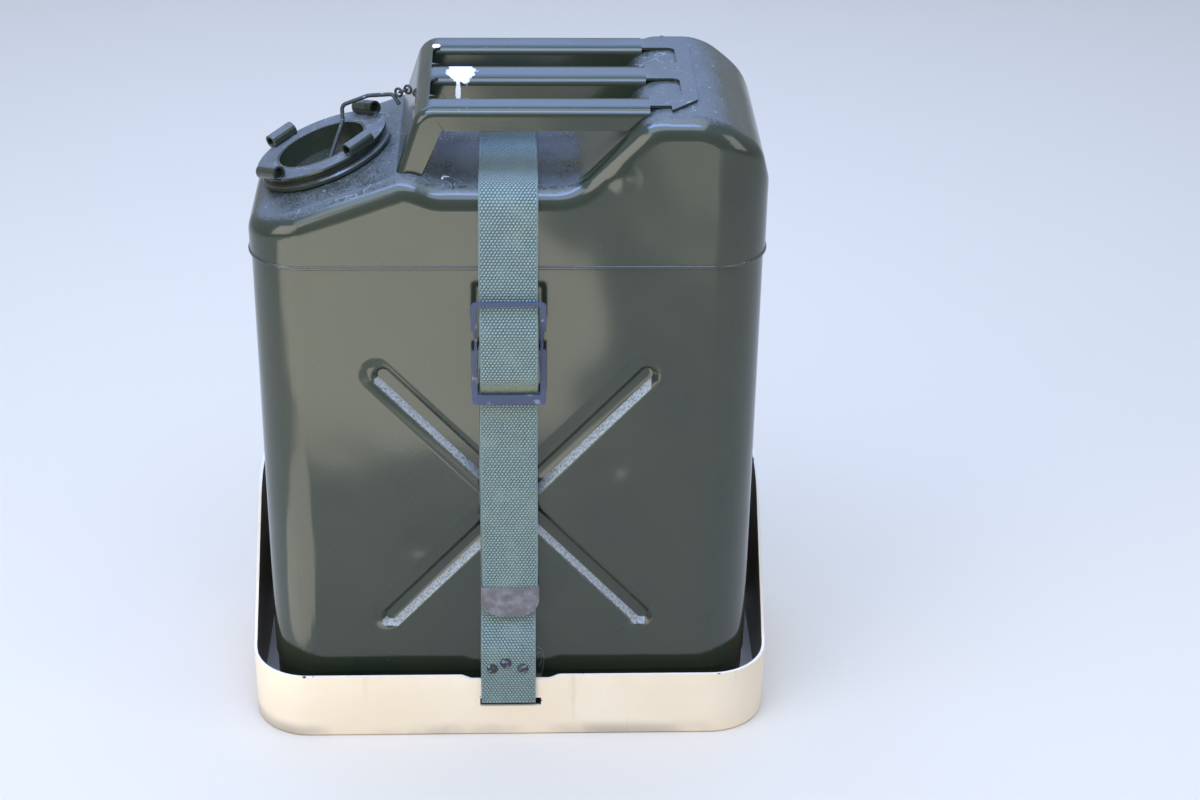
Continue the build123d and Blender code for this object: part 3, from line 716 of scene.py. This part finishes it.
class Dress(Enum):
    """The finishes of the object, one for each kind of surface."""

    SHELL = OliveEnamel(
        "olive_enamel",
        dents=(
            Dent((70.8, -83.0, 216.4), 17.0, 1.0), Dent((-64.6, -83.0, 154.5), 16.0, 1.0),
            Dent((75.6, -84.0, 433.0), 13.0, -0.9), Dent((0.0, -83.0, 318.0), 84.0, 2.4),
            Dent((-112.0, -83.0, 150.0), 22.0, 0.5),
        ),
        field=DustyField(),
        splats=(
            Splat((-41.0, -59.0, 426.0), (3.0, 0.9, 2.0)), Splat((-43.0, -62.0, 426.0), (0.9, 2.6, 2.0)),
            Splat((-71.0, -3.0, 430.0), (1.3, 1.3, 2.0)),
        ),
    )
    GRIP = OliveEnamel(
        "olive_enamel_grip", wiped_to=98.0,
        splats=(
            Splat((-31.0, 0.0, 475.0), (10.5, 15.0, 8.0)), Splat((-33.0, -12.0, 467.0), (2.0, 5.0, 8.5)),
            Splat((-49.0, 49.0, 475.0), (3.0, 3.4, 3.0)),
        ),
    )
    FILLER = OliveEnamel("olive_enamel_filler", dusty=2.1)
    CUP = OliveEnamel("olive_enamel_cup", dusty=0.3)
    CARRIER = SandEnamel("sand_enamel")
    WEAVE = WovenWebbing("webbing_weave")
    # Blue-black buckle whose coat is tinted bluer as a painted sky reflection.
    FITTING = WornMetal("blue_black_fitting_with_painted_sky")
    CLIP = WornMetal(
        "tarnished_clip", coat=(0.12, 0.112, 0.120), bare=(0.27, 0.28, 0.33), rub=0.38, metallic=0.7,
        roughness=0.30, scale=150.0, fade=0.4, dents=(Dent((0.0, -91.5, 113.0), 6.0, 1.5),),
    )
    STUD = WornMetal("dark_stud", coat=(0.018, 0.022, 0.028), rub=0.55, scale=380.0)
    WIRE = WornMetal("dull_wire", coat=(0.03, 0.035, 0.03), rub=0.6, roughness=0.45, scale=300.0)
    SEAL = Rubber("rubber_seal")
    FLOOR = StudioFloor("studio_floor")


class Wardrobe:
    """Makes each finish once and puts it on pieces."""

    def __init__(self) -> None:
        """Start with nothing made."""
        self._made: dict[Dress, bpy.types.Material] = {}

    def put_on(self, piece: bpy.types.Object, dress: Dress) -> bpy.types.Object:
        """Give a piece its finish.

        Args:
            piece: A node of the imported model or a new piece.
            dress: The finish.

        Returns:
            The same piece.
        """
        if dress not in self._made:
            self._made[dress] = dress.value.material()
        piece.data.materials.clear()
        piece.data.materials.append(self._made[dress])
        LOG.info("%s finished in %s", piece.name, dress.value.name)
        return piece


def to_piece(name: str, bm: bmesh.types.BMesh) -> bpy.types.Object:
    """Turn a finished bmesh into a piece of the scene.

    Args:
        name: The piece's name.
        bm: The mesh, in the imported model's frame.

    Returns:
        The new object, at the origin.
    """
    mesh = bpy.data.meshes.new(name)
    bm.to_mesh(mesh)
    bm.free()
    piece = bpy.data.objects.new(name, mesh)
    bpy.context.scene.collection.objects.link(piece)
    return piece


def joined_copy(node: str) -> bmesh.types.BMesh:
    """Copy a node's mesh with its loose faces joined.

    Args:
        node: The node's name.

    Returns:
        The copy, smooth but for the edges that turn sharply.
    """
    bm = bmesh.new()
    bm.from_mesh(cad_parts[node].data)
    bmesh.ops.remove_doubles(bm, verts=bm.verts, dist=JOIN_REACH)
    for face in bm.faces:
        face.smooth = True
    for edge in bm.edges:
        edge.smooth = edge.is_manifold and edge.calc_face_angle() < math.radians(SHARP_TURN)
    return bm


def soften(piece: bpy.types.Object, sharper: float) -> None:
    """Round a piece's sharp edges.

    Args:
        piece: The piece.
        sharper: Least angle in degrees of an edge that is rounded.
    """
    rounding = piece.modifiers.new("soft_edge", "BEVEL")
    rounding.width, rounding.segments, rounding.limit_method = EDGE_WIDTH * MM, 2, "ANGLE"
    rounding.angle_limit = math.radians(sharper)
    rounding.harden_normals = True


@dataclass
class Ribbon:
    """Flat webbing laid along corners in the vertical plane through the can's middle."""

    name: str
    corners: Route
    radii: tuple[float, ...]
    drift: tuple[float, float] = (0.0, 0.0)
    width: float = 39.0
    thickness: float = 1.8
    strips: int = 6
    longest_step: float = 12.0
    arc_steps: int = 7
    sway: float = 0.175
    sway_pace: float = 41.0
    edge_turn: float = 60.0

    def build(self) -> bpy.types.Object:
        """Extrude and spin the webbing's cross line along its route.

        Returns:
            The webbing as a piece with its length and width as a UV map.
        """
        bm = bmesh.new()
        along = bm.verts.layers.float.new("along")
        line = self._cross_line(bm)
        corners = [at(0.0, y, z) for y, z in self.corners]
        place, run = corners[0], 0.0
        for before, here, after, radius in zip(corners, corners[1:], corners[2:], self.radii):
            heading, leaving = (here - before).normalized(), (after - here).normalized()
            turn = math.atan2(heading.cross(leaving).x, heading.dot(leaving))
            tangent = radius * MM * math.tan(abs(turn) / 2)
            stop = here - heading * tangent
            line, run = self._straight(bm, along, line, stop - place, run)
            side = Matrix.Rotation(math.copysign(math.pi / 2, turn), 3, "X") @ heading
            line, run = self._bend(bm, along, line, stop + side * radius * MM, turn, run)
            place = here + leaving * tangent
        line, run = self._straight(bm, along, line, corners[-1] - place, run)
        self._lay_weave(bm, along, run)
        piece = to_piece(self.name, bm)
        wall = piece.modifiers.new("thickness", "SOLIDIFY")
        wall.thickness, wall.offset = self.thickness * MM, 0.0
        soften(piece, self.edge_turn)
        return piece

    def _cross_line(self, bm: bmesh.types.BMesh) -> list[bmesh.types.BMEdge]:
        """Make the line of edges across the webbing.

        Args:
            bm: Mesh that takes the line.

        Returns:
            The edges, at the route's start.
        """
        start = at(0.0, *self.corners[0])
        step = self.width * MM / self.strips
        verts = [
            bm.verts.new(start + Vector((step * (n - self.strips / 2), 0.0, 0.0)))
            for n in range(self.strips + 1)
        ]
        return [bm.edges.new(pair) for pair in zip(verts, verts[1:])]

    def _straight(
        self, bm: bmesh.types.BMesh, along: bmesh.types.BMLayerItem,
        line: list[bmesh.types.BMEdge], move: Vector, run: float,
    ) -> tuple[list[bmesh.types.BMEdge], float]:
        """Extrude the cross line in a straight run.

        Args:
            bm: The webbing's mesh.
            along: Layer that holds each vertex's distance from the start.
            line: Edges across the webbing.
            move: The whole run.
            run: Distance from the start so far.

        Returns:
            The new cross line and its distance from the start.
        """
        steps = max(1, math.ceil(move.length / (self.longest_step * MM)))
        for _ in range(steps):
            made = bmesh.ops.extrude_edge_only(bm, edges=line)["geom"]
            verts = [e for e in made if isinstance(e, bmesh.types.BMVert)]
            line = [e for e in made if isinstance(e, bmesh.types.BMEdge)]
            line = [e for e in line if abs((e.verts[0].co - e.verts[1].co).x) > JOIN_REACH]
            bmesh.ops.translate(bm, verts=verts, vec=move / steps)
            run += move.length / steps
            for vert in verts:
                vert[along] = run
        return line, run

    def _bend(
        self, bm: bmesh.types.BMesh, along: bmesh.types.BMLayerItem,
        line: list[bmesh.types.BMEdge], centre: Vector, turn: float, run: float,
    ) -> tuple[list[bmesh.types.BMEdge], float]:
        """Spin the cross line round a bend.

        Args:
            bm: The webbing's mesh.
            along: Layer that holds each vertex's distance from the start.
            line: Edges across the webbing.
            centre: Middle of the bend.
            turn: Angle of the bend about X.
            run: Distance from the start so far.

        Returns:
            The new cross line and its distance from the start.
        """
        steps = max(1, round(self.arc_steps * abs(turn) / (math.pi / 2)))
        offset = line[0].verts[0].co - centre
        radius = math.hypot(offset.y, offset.z)
        for _ in range(steps):
            made = bmesh.ops.spin(
                bm, geom=line, cent=centre, axis=(1.0, 0.0, 0.0), angle=turn / steps, steps=1
            )["geom_last"]
            line = [e for e in made if isinstance(e, bmesh.types.BMEdge)]
            run += radius * abs(turn) / steps
            for vert in {v for e in line for v in e.verts}:
                vert[along] = run
        return line, run

    def _lay_weave(
        self, bm: bmesh.types.BMesh, along: bmesh.types.BMLayerItem, whole: float
    ) -> None:
        """Write the UV map, then let the webbing sway a little to the side.

        Args:
            bm: The webbing's mesh.
            along: Layer that holds each vertex's distance from the start.
            whole: The webbing's length.
        """
        weave = bm.loops.layers.uv.new("weave")
        for face in bm.faces:
            for loop in face.loops:
                loop[weave].uv = (loop.vert.co.x, loop.vert[along])
        first, last = self.drift
        for vert in bm.verts:
            share = vert[along] / whole
            sway = self.sway * math.sin(vert[along] * self.sway_pace)
            vert.co.x += (first + (last - first) * share + sway) * MM
        bmesh.ops.recalc_face_normals(bm, faces=bm.faces)


@dataclass
class Strap:
    """The webbing, its buckle, clip and rivets, and the threads that fray from it."""

    wardrobe: Wardrobe
    lip_y: float = -98.3
    long_route: Route = (
        (-88.5, 112.0), (-88.5, 126.0), (-86.6, 149.0), (-86.6, 246.5), (-87.95, 280.5),
        (-98.5, 293.5), (-98.5, 328.0), (-93.35, 347.5), (-86.2, 426.3), (86.2, 426.3),
        (86.2, 244.3), (93.8, 220.3), (93.8, 189.7), (85.6, 183.7), (85.6, 228.3),
    )
    long_radii: tuple[float, ...] = (
        20.0, 20.0, 20.0, 8.0, 8.0, 8.0, 8.0, 16.1, 16.1, 12.0, 4.0, 2.4, 2.4,
    )
    short_route: Route = (
        (-92.2, 300.0), (-92.2, 314.7), (-87.2, 314.7), (-87.2, 300.0), (-84.3, 286.0),
        (-84.3, 98.0), (-98.3, 74.0), (-98.3, 29.0), (-93.7, 29.0), (-93.7, 51.0),
        (-96.0, 56.0), (-96.0, 70.0),
    )
    short_radii: tuple[float, ...] = (2.45, 2.45, 8.0, 12.0, 14.0, 14.0, 2.25, 2.25, 4.0, 4.0)
    short_drift: tuple[float, float] = (-0.8, -1.6)
    frayed: tuple[Route, ...] = (
        ((19.0, 78.0), (22.5, 76.0), (24.0, 68.0), (23.0, 58.0), (21.5, 52.0)),
        ((19.0, 73.0), (21.5, 73.5), (22.5, 67.0), (20.5, 61.0)),
        ((-19.8, 68.0), (-21.5, 69.5), (-22.0, 66.0)),
    )
    thread_r: float = 0.2

    def dress(self) -> None:
        """Build the webbing and the buckle and finish the metal on them."""
        long = Ribbon("strap_long_webbing", self.long_route, self.long_radii)
        short = Ribbon("strap_short_webbing", self.short_route, self.short_radii, self.short_drift)
        for ribbon, node in ((long, "strap_long"), (short, "strap_short")):
            piece = self.wardrobe.put_on(ribbon.build(), Dress.WEAVE)
            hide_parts(node)
            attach(piece, "carrier_and_can")
        self._buckle()
        self._fray()
        for node, dress in (("strap_tip", Dress.CLIP), ("strap_rivets", Dress.STUD)):
            self.wardrobe.put_on(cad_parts[node], dress)

    def _buckle(self) -> None:
        """Round the edges of a copy of the buckle."""
        bm = joined_copy("strap_buckle")
        bmesh.ops.dissolve_limit(
            bm, angle_limit=math.radians(1.0), use_dissolve_boundaries=False,
            verts=bm.verts, edges=bm.edges,
        )
        piece = self.wardrobe.put_on(to_piece("buckle_rounded", bm), Dress.FITTING)
        soften(piece, SHARP_TURN)
        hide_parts("strap_buckle")
        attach(piece, "carrier_and_can")

    def _fray(self) -> None:
        """Add the loose threads at the short strap's edges."""
        bm = bmesh.new()
        for route in self.frayed:
            self._thread(bm, route)
        piece = self.wardrobe.put_on(to_piece("strap_frayed_threads", bm), Dress.WEAVE)
        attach(piece, "carrier_and_can")

    def _thread(self, bm: bmesh.types.BMesh, route: Route) -> None:
        """Add one thread by extruding a small ring along its route.

        Args:
            bm: Mesh that takes the thread.
            route: Points across and up, in millimetres.
        """
        points = [at(x, self.lip_y - self.thread_r, z) for x, z in route]
        circle = bmesh.ops.create_circle(bm, cap_ends=False, segments=5, radius=self.thread_r * MM)
        ring = circle["verts"]
        aim = (points[1] - points[0]).to_track_quat("Z", "Y").to_matrix().to_4x4()
        bmesh.ops.transform(bm, matrix=Matrix.Translation(points[0]) @ aim, verts=ring)
        edges = list({e for v in ring for e in v.link_edges})
        for here, after in zip(points, points[1:]):
            made = bmesh.ops.extrude_edge_only(bm, edges=edges)["geom"]
            verts = [e for e in made if isinstance(e, bmesh.types.BMVert)]
            ring_edges = [e for e in made if isinstance(e, bmesh.types.BMEdge)]
            edges = [e for e in ring_edges if all(v in verts for v in e.verts)]
            bmesh.ops.translate(bm, verts=verts, vec=after - here)


@dataclass
class GroovedBody:
    """Copy of the can's body whose crossed grooves lie between soft shoulders."""

    centre: Place = (0.0, -83.0, 192.5)
    half_w: float = 89.5
    half_h: float = 97.5
    inner: float = 6.3
    outer: float = 13.3
    rings: int = 7
    depth: float = 1.6
    curve: float = 1.3
    front_depth: float = 6.0
    snap: float = 0.001

    @property
    def arm(self) -> float:
        """Length of the grooves' arms from their crossing."""
        return math.hypot(self.half_w, self.half_h)

    def build(self) -> bpy.types.Object:
        """Cut the front along the grooves, then sink it.

        Returns:
            The body as a new piece.
        """
        bm = joined_copy("can_body")
        middle = at(*self.centre)
        behind = at(0.0, self.centre[1] + self.front_depth, 0.0).y
        faces = [f for f in bm.faces if f.calc_center_median().y < behind]
        edges = [e for f in faces for e in f.edges]
        verts = [v for f in faces for v in f.verts]
        parts = list(dict.fromkeys([*faces, *edges, *verts]))
        for normal, offset in self._cuts():
            point = middle + normal * offset * MM
            cut = bmesh.ops.bisect_plane(
                bm, geom=parts, dist=self.snap * MM, plane_co=point, plane_no=normal
            )
            parts = cut["geom"]
        for vert in bm.verts:
            if vert.co.y < behind:
                vert.co.y += self._sunk((vert.co - middle) / MM) * MM
        piece = to_piece("can_body_pressing", bm)
        piece.modifiers.new("even_shading", "WEIGHTED_NORMAL").keep_sharp = True
        return piece

    def _arms(self) -> list[tuple[Vector, Vector]]:
        """List the directions of the two grooves.

        Returns:
            The directions along and across each groove.
        """
        arms = []
        for side in (1.0, -1.0):
            along = Vector((self.half_w, 0.0, side * self.half_h)).normalized()
            arms.append((along, Vector((-along.z, 0.0, along.x))))
        return arms

    def _cuts(self) -> list[tuple[Vector, float]]:
        """List the planes that divide the shoulders.

        Returns:
            Each plane's direction and its distance from the crossing, in millimetres.
        """
        step = (self.outer - self.inner) / (self.rings - 1)
        reaches = (0.0, self.inner / 2, *(self.inner + step * n for n in range(self.rings)))
        cuts = []
        for along, across in self._arms():
            for reach in reaches:
                cuts += [(across, reach), (across, -reach)]
                cuts += [(along, self.arm + reach), (along, -self.arm - reach)]
        return cuts

    def _sunk(self, offset: Vector) -> float:
        """Depth of the shoulders at a point.

        Args:
            offset: The point counted from the crossing, in millimetres.

        Returns:
            The depth in millimetres, nothing past the shoulders.
        """
        reach = min(
            math.hypot(max(abs(offset.dot(along)) - self.arm, 0.0), offset.dot(across))
            for along, across in self._arms()
        )
        share = min(max((self.outer - reach) / (self.outer - self.inner), 0.0), 1.0)
        return self.depth * share**self.curve


@dataclass
class Can:
    """The can's pressed shells, its handle and its screw cap."""

    wardrobe: Wardrobe
    shells: tuple[str, ...] = ("can_bottom", "can_top")
    filler: tuple[str, ...] = ("filler_neck", "cap_ring")
    rim_z: float = 463.0
    rim_band: float = 0.6
    rim_drop: float = 2.0
    dropped_from: float = -42.0
    dropped_to: float = 83.0
    bar_spread: tuple[tuple[float, float], ...] = (
        (0.0, 0.0), (4.0, 3.0), (9.0, 11.5), (11.5, 14.0), (29.0, 29.0), (46.5, 44.0),
        (49.0, 46.5), (53.0, 52.5), (62.5, 61.0), (69.0, 69.0), (80.0, 80.0),
    )

    def dress(self) -> None:
        """Finish every piece of the can."""
        for node in self.shells:
            self.wardrobe.put_on(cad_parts[node], Dress.SHELL)
        body = self.wardrobe.put_on(GroovedBody().build(), Dress.SHELL)
        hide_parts("can_body")
        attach(body, "carrier_and_can")
        for node in self.filler:
            self.wardrobe.put_on(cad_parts[node], Dress.FILLER)
        self.wardrobe.put_on(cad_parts["cap_cup"], Dress.CUP)
        self._handle()
        self.wardrobe.put_on(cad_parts["cap_gasket"], Dress.SEAL)
        for node in ("cap_wire", "cap_chain"):
            self.wardrobe.put_on(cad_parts[node], Dress.WIRE)

    def _handle(self) -> None:
        """Swell the bars of a copy of the handle, as the press leaves them."""
        bm = joined_copy("can_handle")
        middle = at(0.0, 0.0, self.rim_z)
        for vert in bm.verts:
            offset = (vert.co - middle) / MM
            vert.co.y = middle.y + self._spread(offset.y) * MM
            if abs(offset.z) < self.rim_band and self.dropped_from < offset.x < self.dropped_to:
                vert.co.z -= self.rim_drop * MM
        piece = self.wardrobe.put_on(to_piece("handle_pressing", bm), Dress.GRIP)
        piece.modifiers.new("even_shading", "WEIGHTED_NORMAL").keep_sharp = True
        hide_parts("can_handle")
        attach(piece, "carrier_and_can")

    def _spread(self, side: float) -> float:
        """Distance of a point from the handle's middle once the bars swell.

        Args:
            side: The distance before, in millimetres, negative in front.

        Returns:
            The distance after.
        """
        for (low, new_low), (high, new_high) in zip(self.bar_spread, self.bar_spread[1:]):
            if low <= abs(side) < high:
                share = (abs(side) - low) / (high - low)
                return math.copysign(new_low + (new_high - new_low) * share, side)
        return side


@dataclass
class Carrier:
    """The pressed tray and the back plate."""

    wardrobe: Wardrobe

    def dress(self) -> None:
        """Finish the tray and the plate."""
        for node in ("carrier_tray", "back_plate"):
            self.wardrobe.put_on(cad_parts[node], Dress.CARRIER)


@dataclass(frozen=True)
class Softbox:
    """Soft lamp."""

    name: str
    place: Place
    size: tuple[float, float]
    power: float
    tint: Colour
    shape: str = "RECTANGLE"
    aim: Place = (0.0, 0.0, 0.0)


@dataclass
class Studio:
    """Pale floor, soft lamps and the camera."""

    wardrobe: Wardrobe
    floor_z: float = -0.175
    floor_side: float = 40.0
    pitch: float = 28.80
    yaw: float = -2.40
    roll: float = 0.91
    eye: Place = (0.00299, -1.58438, 0.86718)
    focal_px: float = 2354.4
    picture_w: int = 1200
    sensor_w: float = 36.0
    horizon: Colour = (0.40, 0.41, 0.43)
    zenith: Colour = (0.50, 0.62, 0.85)
    boxes: tuple[Softbox, ...] = (
        Softbox("overhead", (-0.1, -0.5, 1.55), (1.6, 1.8), 27.0, (0.66, 0.82, 1.0)),
        Softbox(
            "sky_behind", (0.0, 1.2, 1.3), (2.4, 1.2), 17.0, (0.31, 0.48, 1.0),
            aim=(0.0, 0.0, 0.2),
        ),
        Softbox(
            "sky_front", (-0.2, -0.48, 1.28), (1.3, 0.2), 8.0, (0.22, 0.37, 1.0),
            aim=(0.0, -0.08, 0.42),
        ),
        Softbox("front_left", (-1.8, -1.5, 1.0), (1.8, 1.4), 21.0, (1.0, 0.92, 0.82)),
        Softbox("right", (1.9, -1.0, 0.9), (1.1, 1.2), 8.0, (1.0, 0.97, 0.93)),
        Softbox(
            "low_left", (-0.37, -0.80, -0.14), (0.85, 1.1), 4.4, (1.0, 0.96, 0.74), "ELLIPSE",
            aim=(-0.37, -0.65, 0.86),
        ),
        Softbox(
            "near_left", (-0.31, -0.36, -0.165), (0.26, 0.34), 0.32, (1.0, 0.96, 0.74), "ELLIPSE",
            aim=(-0.31, -0.31, 0.83),
        ),
        Softbox(
            "far_right", (0.24, -1.12, -0.14), (0.17, 0.34), 0.15, (1.0, 0.96, 0.78), "ELLIPSE",
            aim=(0.24, -0.97, 0.86),
        ),
    )

    def build(self) -> None:
        """Make the floor, the lamps, the world and the camera."""
        self._floor()
        for box in self.boxes:
            self._lamp(box)
        self._world()
        self._camera()
        bpy.context.scene.view_settings.view_transform = "Standard"

    def _floor(self) -> None:
        """Make the floor under the carrier."""
        bm = bmesh.new()
        bmesh.ops.create_grid(bm, x_segments=2, y_segments=2, size=self.floor_side / 2)
        bmesh.ops.translate(bm, verts=bm.verts, vec=(0.0, 0.0, self.floor_z))
        self.wardrobe.put_on(to_piece("floor", bm), Dress.FLOOR)

    def _lamp(self, box: Softbox) -> None:
        """Hang one softbox and turn it to what it lights.

        Args:
            box: The softbox.
        """
        light = bpy.data.lights.new(box.name, "AREA")
        light.shape, light.size, light.size_y = box.shape, *box.size
        light.energy, light.color = box.power, box.tint
        lamp = bpy.data.objects.new(box.name, light)
        lamp.location = box.place
        heading = Vector(box.aim) - Vector(box.place)
        lamp.rotation_euler = heading.to_track_quat("-Z", "Y").to_euler()
        lamp.visible_camera = False
        bpy.context.scene.collection.objects.link(lamp)

    def _world(self) -> None:
        """Light the room from grey at the horizon to a cool sky."""
        world = bpy.data.worlds.new("room")
        world.use_nodes = True
        bpy.context.scene.world = world
        graph = Graph(world.node_tree, "Generated")
        height = graph.part(graph.place, "Z").step(0.15, 0.8)
        back = next(n for n in graph.tree.nodes if n.type == "BACKGROUND")
        graph.feed(back.inputs["Color"], graph.mix(height, self.horizon, self.zenith))

    def _camera(self) -> None:
        """Place the camera where the photograph was taken from."""
        data = bpy.data.cameras.new("camera")
        data.sensor_width = self.sensor_w
        data.lens = self.sensor_w * self.focal_px / self.picture_w
        camera = bpy.data.objects.new("camera", data)
        turn = Matrix.Rotation(math.radians(self.yaw), 4, "Z")
        tilt = Matrix.Rotation(math.radians(90.0 - self.pitch), 4, "X")
        lean = Matrix.Rotation(math.radians(self.roll), 4, "Z")
        camera.matrix_world = Matrix.Translation(self.eye) @ turn @ tilt @ lean
        bpy.context.scene.collection.objects.link(camera)
        bpy.context.scene.camera = camera


def main() -> None:
    """Build and dress everything in order."""
    logging.basicConfig(level=logging.INFO)
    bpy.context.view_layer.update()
    wardrobe = Wardrobe()
    Carrier(wardrobe).dress()
    Can(wardrobe).dress()
    Strap(wardrobe).dress()
    Studio(wardrobe).build()
    bpy.context.view_layer.update()


if __name__ == "__main__":
    main()
